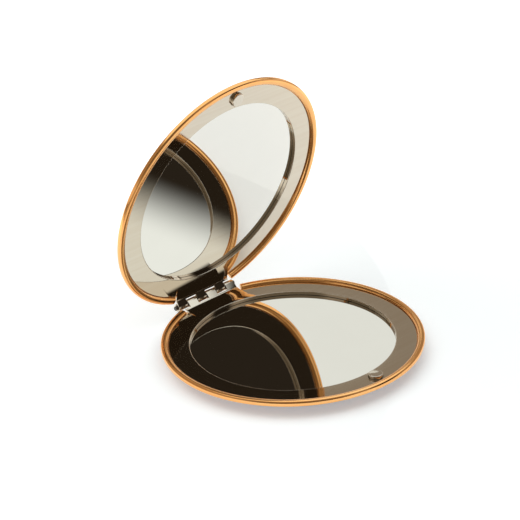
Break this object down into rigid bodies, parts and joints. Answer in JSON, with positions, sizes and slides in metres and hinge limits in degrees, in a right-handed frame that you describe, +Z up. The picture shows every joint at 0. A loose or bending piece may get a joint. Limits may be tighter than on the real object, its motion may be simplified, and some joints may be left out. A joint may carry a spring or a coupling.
{
  "type": "folding compact mirror",
  "caption": "Round folding pocket mirror: two domed metal halves on a rolled-knuckle hinge, a plain glass in the lid, a magnifying glass in the base, magnets to close it.",
  "frame": {"origin": "middle of the flat on the underside of the base, on the surface that the compact lies on", "axes": "+Z up, +Y from the middle of the base towards the hinge, +X along the hinge pin"},
  "size_m": [0.07, 0.0718, 0.0723],
  "materials": {
    "gold_plating": "polished",
    "polished_steel": "polished",
    "mirror_silver": "polished",
    "white_foam": "matte",
    "nickel_plating": "polished",
    "dark_steel": "satin"
  },
  "bodies": {
    "base": {"base_shell": "gold_plating", "base_plate": "polished_steel", "base_mirror_glass": "mirror_silver", "base_mirror_pad": "white_foam", "base_magnet": "nickel_plating", "hinge_pin": "dark_steel"},
    "lid": {"lid_shell": "gold_plating", "lid_plate": "polished_steel", "lid_mirror_glass": "mirror_silver", "lid_mirror_pad": "white_foam", "lid_magnet": "nickel_plating"}
  },
  "joints": [
    {"name": "lid_hinge", "type": "hinge", "parent": "base", "child": "lid", "pos_m": [0, 0.0346, 0.00515], "axis": [-1, 0, 0], "range_deg": [-73.8, 106.2]}
  ]
}
